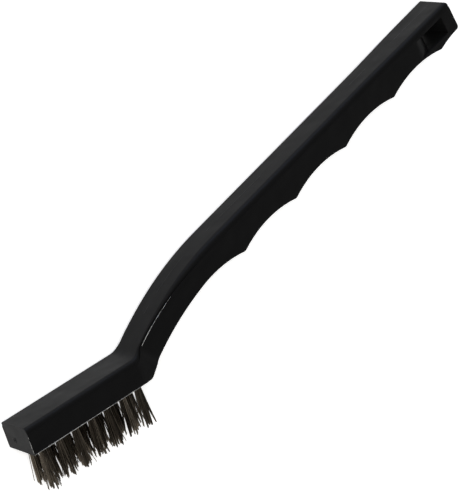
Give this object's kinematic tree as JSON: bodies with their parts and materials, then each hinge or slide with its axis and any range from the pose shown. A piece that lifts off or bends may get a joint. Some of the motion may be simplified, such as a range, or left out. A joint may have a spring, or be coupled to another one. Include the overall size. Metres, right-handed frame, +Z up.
{
  "type": "wire scratch brush",
  "caption": "Small hand wire brush: moulded plastic handle with finger ridges and a hang slot, and tufts of fine steel wire anchored in its angled head.",
  "frame": {"origin": "middle of the whole brush's box, on the surface it lies on", "axes": "+X along the straight grip towards the tail, +Y towards the spine (the wires point towards -Y), +Z up, out of the side of the brush"},
  "size_m": [0.1846, 0.0296, 0.0115],
  "materials": {
    "handle": "black polypropylene, injection moulded, faint satin sheen",
    "wire": "fine stainless steel wire, dull and slightly brown",
    "anchor": "flat steel anchor wire, plain"
  },
  "bodies": {
    "root": {"handle": "handle", "tuft_upper_1": "wire", "tuft_upper_2": "wire", "tuft_upper_3": "wire", "tuft_upper_4": "wire", "tuft_upper_5": "wire", "tuft_upper_6": "wire", "tuft_upper_7": "wire", "tuft_middle_1": "wire", "tuft_middle_2": "wire", "tuft_middle_3": "wire", "tuft_middle_4": "wire", "tuft_middle_5": "wire", "tuft_middle_6": "wire", "tuft_lower_1": "wire", "tuft_lower_2": "wire", "tuft_lower_3": "wire", "tuft_lower_4": "wire", "tuft_lower_5": "wire", "tuft_lower_6": "wire", "tuft_lower_7": "wire", "anchor_upper_1": "anchor", "anchor_upper_2": "anchor", "anchor_upper_3": "anchor", "anchor_upper_4": "anchor", "anchor_upper_5": "anchor", "anchor_upper_6": "anchor", "anchor_upper_7": "anchor", "anchor_middle_1": "anchor", "anchor_middle_2": "anchor", "anchor_middle_3": "anchor", "anchor_middle_4": "anchor", "anchor_middle_5": "anchor", "anchor_middle_6": "anchor", "anchor_lower_1": "anchor", "anchor_lower_2": "anchor", "anchor_lower_3": "anchor", "anchor_lower_4": "anchor", "anchor_lower_5": "anchor", "anchor_lower_6": "anchor", "anchor_lower_7": "anchor"}
  },
  "joints": []
}
